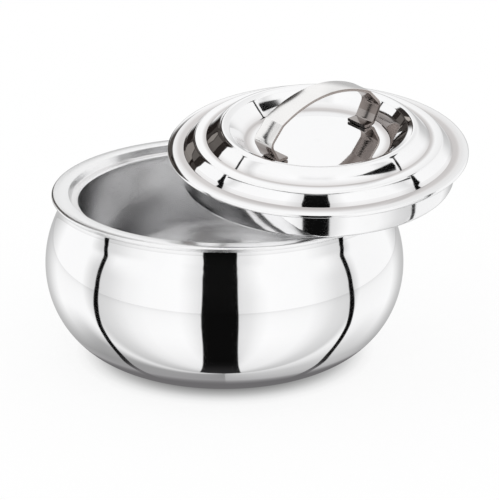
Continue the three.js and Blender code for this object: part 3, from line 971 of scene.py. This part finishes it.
class CASSEROLE_OT_fixings(bpy.types.Operator):
    """Finish the studs, washers and nuts under the handle"""
    bl_idname = "casserole.fixings"
    bl_label = "Handle fixings"

    def execute(self, context):
        lid, finish = settings(context, "lid", "finish")
        for side in ("front", "back"):
            place = axis_place("handle_stud_" + side, lid_place(lid))
            steel = spun_steel(
                "Fixing steel " + side, place, finish.fixing, roughness=0.28,
                clouding=0.12, ring_spacing=0.3 * MM, relief=0.15,
            )
            for kind in ("stud", "washer", "nut"):
                repaint(f"handle_{kind}_{side}", steel)
        return {"FINISHED"}


# Studio: what the steel mirrors, by degrees of turn from the front and of rise from level

def studio_panels_group(name):
    """White panels all round with dark gaps and seams, and a dark corner, by direction."""
    inputs = {"Direction": VECTOR, "Gap colour": COLOUR}
    nodes, given = group_tree(name, "ShaderNodeTree", inputs, {"Colour": COLOUR})
    x, y, z = nodes.split(given["Direction"])
    turn = nodes.math("DEGREES", nodes.math("ARCTAN2", x, nodes.times(y, -1.0)))
    rise = nodes.math("DEGREES", nodes.math("ARCSINE", z))
    corner_share, corner = dark_corner(nodes, turn, rise, given["Direction"])
    lit = nodes.mix(corner_share, panel_tone(nodes, turn, rise), corner)
    dark = nodes.most(front_gap(nodes, x, y, z, rise), panel_seams(nodes, turn, rise))
    nodes.add("NodeGroupOutput", {"Colour": nodes.mix(dark, lit, given["Gap colour"])})
    return nodes.tree


def panel_tone(nodes, turn, rise):
    """Grey of the white panels, from (turn, grey) stops for three heights."""
    sides = ((-180, 0.5), (-160, 0.55), (-150, 0.66), (-140, 0.84), (-132, 0.98), (-100, 0.98), (-92, 0.72))
    sides += ((-88, 0.66), (-77, 0.74), (-64, 0.9), (-50, 0.98), (-28, 1.0), (-22, 0.93), (-16, 0.82))
    sides += ((-12, 0.76), (8, 0.74), (16, 0.82), (22, 0.93), (28, 1.0), (56, 0.98), (66, 0.88), (75, 0.76))
    sides += ((88, 0.68), (94, 0.95), (134, 0.97), (141, 0.82), (150, 0.64), (160, 0.54), (180, 0.5))
    overhead = ((-180, 0.97), (-176, 0.97), (-95, 0.97), (-87, 0.76), (-78, 0.97), (-30, 1.0), (-14, 0.76))
    overhead += ((9, 0.76), (25, 1.0), (72, 0.97), (86, 0.76), (96, 0.97), (145, 0.93), (160, 0.84))
    overhead += ((172, 0.86), (177, 0.97), (180, 0.97))
    low = ((-180, 0.32), (-110, 0.45), (110, 0.8), (180, 0.6))
    ceiling = rgba((0.97, 0.97, 0.97))
    tone = nodes.mix(nodes.fade(rise, 6.0, 24.0), nodes.ramp(turn, sides), nodes.ramp(turn, overhead))
    tone = nodes.mix(nodes.fade(rise, 56.0, 60.0), tone, ceiling)
    behind = nodes.fade(nodes.size(turn), 95.0, 118.0)
    low_back = nodes.times(behind, nodes.fade(rise, -24.0, -48.0))
    return nodes.mix(low_back, tone, nodes.ramp(turn, low))


def front_gap(nodes, x, y, z, rise):
    """Dark upright gap between the panels in front, from (z, half width) stops."""
    half_widths = ((-1.0, 0.118), (-0.9, 0.137), (-0.8, 0.150), (-0.6, 0.171), (-0.4, 0.188), (-0.2, 0.196))
    half_widths += ((0.0, 0.193), (0.45, 0.185), (0.574, 0.170), (0.707, 0.148), (0.82, 0.125), (1.0, 0.1))
    left_share = 0.21
    half_width = nodes.ramp(z, half_widths)
    from_middle = nodes.plus(x, nodes.times(half_width, left_share))
    off_centre = nodes.over(nodes.size(from_middle), half_width)
    gap = nodes.fade(off_centre, 1.015, 0.985)
    gap = nodes.times(gap, nodes.math("LESS_THAN", y, 0.0))
    return nodes.times(gap, nodes.fade(rise, 56.0, 55.2))


def rounded_distance(nodes, across, up):
    """Distance from the middle of a rounded rectangle, 1 on its edge."""
    squareness = 2.7
    terms = [nodes.power(nodes.size(value), squareness) for value in (across, up)]
    return nodes.power(nodes.plus(*terms), 1 / squareness)


def panel_seams(nodes, turn, rise):
    """Thin dark seams round the side panels and along the top of the front panels."""
    side_turn, side_half_turn = 136.5, 46.5
    top_rise, front_turn, droop, droop_power = 56.0, 93.0, 15.0, 2.6
    nudges = ((-62, 0.0), (-35, 0.0), (-5, 4.0), (20, 4.0), (26, 1.5), (60, 1.5))
    thicknesses = ((-62, 0.5), (-45, 1.0), (-20, 1.2), (0, 0.95), (20, 0.95), (26, 1.9), (31, 1.7))
    thicknesses += ((36, 1.0), (41, 0.5), (46, 0.5), (49, 1.3))
    top_thicknesses = ((-93, 0.6), (-55, 0.35), (0, 0.25), (55, 0.35), (80, 1.6), (93, 2.4))
    turned_away = nodes.size(turn)
    side_middle = nodes.minus(side_turn, nodes.ramp(rise, nudges))
    across = nodes.over(nodes.minus(turned_away, side_middle), side_half_turn)
    up = nodes.over(rise, nodes.fade(rise, -10.0, 10.0, 55.5, 52.0))
    off_side = nodes.size(nodes.minus(rounded_distance(nodes, across, up), 1.0))
    off_side = nodes.over(off_side, nodes.ramp(rise, thicknesses))
    side = nodes.fade(off_side, 0.045, 0.033)
    side = nodes.times(side, nodes.fade(turned_away, 170.0, 163.0))
    far = nodes.plus(nodes.fade(turn, -108.0, -118.0), nodes.fade(turn, 128.0, 140.0))
    far = nodes.times(far, nodes.fade(rise, 38.0, 43.0))
    side = nodes.times(side, nodes.minus(1.0, far))
    drop = nodes.power(nodes.over(turned_away, front_turn), droop_power)
    top_height = nodes.minus(top_rise, nodes.times(drop, droop))
    off_top = nodes.size(nodes.minus(rise, top_height))
    off_top = nodes.over(off_top, nodes.ramp(turn, top_thicknesses))
    top = nodes.fade(off_top, 1.1, 0.8)
    top = nodes.times(top, nodes.math("LESS_THAN", turned_away, 95.0))
    return nodes.most(side, top)


def dark_corner(nodes, turn, rise, direction):
    """Share and colour of an unlit corner at the back left, of flat facets with dark edges."""
    middle_turn, half_turn, middle_rise, half_rise, facet_scale = -149.0, 28.0, 13.0, 33.0, 3.4
    foot_slope, foot_rise = 0.458, 66.0
    dark, pale = rgba((0.01, 0.007, 0.006)), rgba((0.46, 0.42, 0.39))
    tones = ((0.0, 0.0), (0.3, 0.03), (0.5, 0.14), (0.68, 0.35), (0.78, 1.0), (1.0, 1.0))
    cells, edges = [
        nodes.add("ShaderNodeTexVoronoi", {"Scale": facet_scale, "Vector": direction}, feature=feature)
        for feature in ("F1", "DISTANCE_TO_EDGE")
    ]
    pick = nodes.add("ShaderNodeSeparateColor", {0: cells.outputs["Color"]})
    crack = nodes.fade(edges.outputs["Distance"], 0.03, 0.012)
    tinted = nodes.mix(crack, nodes.mix(nodes.ramp(pick.outputs[0], tones), dark, pale), dark)
    across = nodes.over(nodes.minus(turn, middle_turn), half_turn)
    up = nodes.over(nodes.minus(rise, middle_rise), half_rise)
    inside = nodes.fade(rounded_distance(nodes, across, up), 1.0, 0.97)
    foot = nodes.math("MULTIPLY_ADD", turn, foot_slope, foot_rise)
    over_foot = nodes.fade(nodes.minus(rise, foot), -1.0, 1.0)
    off_back = nodes.most(nodes.fade(rise, 25.0, 30.0), nodes.fade(turn, -168.0, -162.0))
    return nodes.times(inside, nodes.times(over_foot, off_back)), tinted


class CASSEROLE_OT_stage(bpy.types.Operator):
    """Set up the camera, the plain floor and the studio"""
    bl_idname = "casserole.stage"
    bl_label = "Stage"

    def execute(self, context):
        studio, = settings(context, "studio")
        context.scene.view_settings.view_transform = "Standard"
        self.camera(context, studio)
        self.world(context, studio)
        self.floor(studio)
        self.painted_floor_reflection()
        return {"FINISHED"}

    def camera(self, context, studio):
        """Camera at the height and distance from which the casserole is seen."""
        clip_share = 4
        data = bpy.data.cameras.new("camera")
        data.lens = studio.lens
        data.clip_end = clip_share * studio.floor_radius
        camera = bpy.data.objects.new("camera", data)
        camera.location = (studio.camera_right, -studio.camera_back, studio.camera_height)
        camera.rotation_euler = (math.pi / 2 - studio.camera_dip, 0.0, 0.0)
        context.scene.collection.objects.link(camera)
        context.scene.camera = camera

    def world(self, context, studio):
        """Plain white light, and the studio panels for mirrored rays."""
        world = bpy.data.worlds.new("Studio")
        world.use_nodes = True
        world.node_tree.nodes.clear()
        context.scene.world = world
        nodes = Nodes(world.node_tree)
        panels = nodes.add("ShaderNodeGroup", {
            "Direction": nodes.add("ShaderNodeTexCoord").outputs["Generated"],
            "Gap colour": rgba(studio.gap_colour),
        }, node_tree=shared("Studio panels", studio_panels_group))
        path = nodes.add("ShaderNodeLightPath")
        mirrored = nodes.most(path.outputs["Is Glossy Ray"], path.outputs["Is Transmission Ray"])
        levels = {"Value": mirrored, "To Min": 1.0, "To Max": studio.panel_light}
        light = nodes.add("ShaderNodeBackground", {
            "Color": nodes.mix(mirrored, WHITE, panels.outputs["Colour"]),
            "Strength": nodes.add("ShaderNodeMapRange", levels).outputs["Result"],
        })
        nodes.add("ShaderNodeOutputWorld", {"Surface": light.outputs[0]})

    def floor(self, studio):
        """Pale floor, white where nothing shades it, with a soft shadow and a painted shadow darkest at the
        pot's foot.
        """
        painted_shadow = ((0.0, 0.08), (0.060, 0.10), (0.066, 0.14), (0.070, 0.24), (0.079, 0.52), (0.086, 0.80))
        painted_shadow += ((0.092, 0.95), (0.098, 1.0))
        depth = 0.2 * MM
        material, nodes, output = new_material("Floor")
        # Painted shadow: by radius, the floor's colour and its glow darken towards the pot's foot
        foot = nodes.ramp(radius_out(nodes), painted_shadow)
        matt = nodes.add("ShaderNodeBsdfDiffuse", {"Color": nodes.mix(studio.floor_shade, BLACK, foot)})
        seen = nodes.add("ShaderNodeLightPath").outputs["Is Camera Ray"]
        glow = nodes.add("ShaderNodeEmission", {
            "Color": foot,
            "Strength": nodes.times(seen, 1.0 - studio.floor_shade),
        })
        from_below = nodes.add("ShaderNodeNewGeometry").outputs["Backfacing"]
        clear = nodes.add("ShaderNodeBsdfTransparent").outputs[0]
        shown = nodes.add("ShaderNodeMixShader", {"Fac": from_below, 1: nodes.both(matt, glow), 2: clear})
        nodes.feed(output.inputs["Surface"], shown.outputs[0])
        stage_disc("floor", studio.floor_radius, -depth, material).visible_glossy = False

    def painted_floor_reflection(self):
        """Painted reflection of the floor for the polished steel: a disc seen only in reflections, painted
        grey away from the pot and dark at its foot, with a faint painted glow there.
        """
        tones = ((0.088, 0.0), (0.092, 0.14), (0.095, 0.42), (0.100, 0.62), (0.108, 0.76), (0.113, 0.83))
        tones += ((0.119, 0.88), (0.130, 0.93), (0.143, 0.96), (0.160, 0.985), (0.185, 1.0), (0.30, 0.98))
        tones += ((0.36, 0.965), (0.43, 0.94), (0.48, 0.90), (0.54, 0.84))
        painted_glows = ((0.0, 0.15), (0.090, 0.16), (0.095, 0.17), (0.100, 0.08), (0.105, 0.025), (0.118, 0.003))
        painted_glows += ((0.125, 0.0),)
        painted_glow_tint, depth = rgba((1.0, 0.97, 1.0)), 0.1 * MM
        material, nodes, output = new_material("Painted floor reflection")
        radius = radius_out(nodes)
        # Painted shade: the disc dims what the steel mirrors through it, by radius
        clear = nodes.add("ShaderNodeBsdfTransparent", {"Color": nodes.ramp(radius, tones)})
        # Painted glow: a faint light in the reflection at the pot's foot
        shine = {"Color": nodes.mix(nodes.ramp(radius, painted_glows), BLACK, painted_glow_tint)}
        nodes.feed(output.inputs["Surface"], nodes.both(clear, nodes.add("ShaderNodeEmission", shine)))
        disc = stage_disc("painted_floor_reflection", tones[-1][0], -depth, material)
        disc.visible_camera = disc.visible_diffuse = disc.visible_shadow = False


def radius_out(nodes):
    """Distance from the pot's axis."""
    return nodes.radius(nodes.split(nodes.add("ShaderNodeTexCoord").outputs["Object"]))


def stage_disc(name, radius, height, material):
    """Round flat piece of the stage about the pot's axis."""
    bearings = [2 * math.pi * side / STAGE_SIDES for side in range(STAGE_SIDES)]
    corners = [(radius * math.cos(bearing), radius * math.sin(bearing), height) for bearing in bearings]
    mesh = bpy.data.meshes.new(name)
    mesh.from_pydata(corners, [], [tuple(range(STAGE_SIDES))])
    mesh.materials.append(material)
    disc = bpy.data.objects.new(name, mesh)
    bpy.context.scene.collection.objects.link(disc)
    return disc


OPERATORS = (
    CASSEROLE_OT_stage,
    CASSEROLE_OT_pot_shell,
    CASSEROLE_OT_pot_bowl,
    CASSEROLE_OT_lid,
    CASSEROLE_OT_handle,
    CASSEROLE_OT_fillings,
    CASSEROLE_OT_fixings,
)
SETTINGS = {
    "casserole_pot": CasserolePotSizes,
    "casserole_lid": CasseroleLidSizes,
    "casserole_handle": CasseroleHandleSizes,
    "casserole_finish": CasseroleFinish,
    "casserole_studio": CasseroleStudio,
}


class CASSEROLE_PT_panel(bpy.types.Panel):
    """Sizes, finishes and steps of the casserole"""
    bl_idname = "CASSEROLE_PT_panel"
    bl_label = "Casserole"
    bl_space_type = "VIEW_3D"
    bl_region_type = "UI"
    bl_category = "Casserole"

    def draw(self, context):
        for setting, kind in SETTINGS.items():
            box = self.layout.box()
            for name in kind.__annotations__:
                box.prop(getattr(context.scene, setting), name)
        for operator in OPERATORS:
            self.layout.operator(operator.bl_idname)


def register():
    for kind in (*SETTINGS.values(), *OPERATORS, CASSEROLE_PT_panel):
        bpy.utils.register_class(kind)
    for setting, kind in SETTINGS.items():
        setattr(bpy.types.Scene, setting, PointerProperty(type=kind))


def unregister():
    for setting in SETTINGS:
        delattr(bpy.types.Scene, setting)
    for kind in (CASSEROLE_PT_panel, *reversed(OPERATORS), *reversed(SETTINGS.values())):
        bpy.utils.unregister_class(kind)


def main():
    register()
    for operator in OPERATORS:
        section, name = operator.bl_idname.split(".")
        getattr(getattr(bpy.ops, section), name)()


if __name__ == "__main__":
    main()
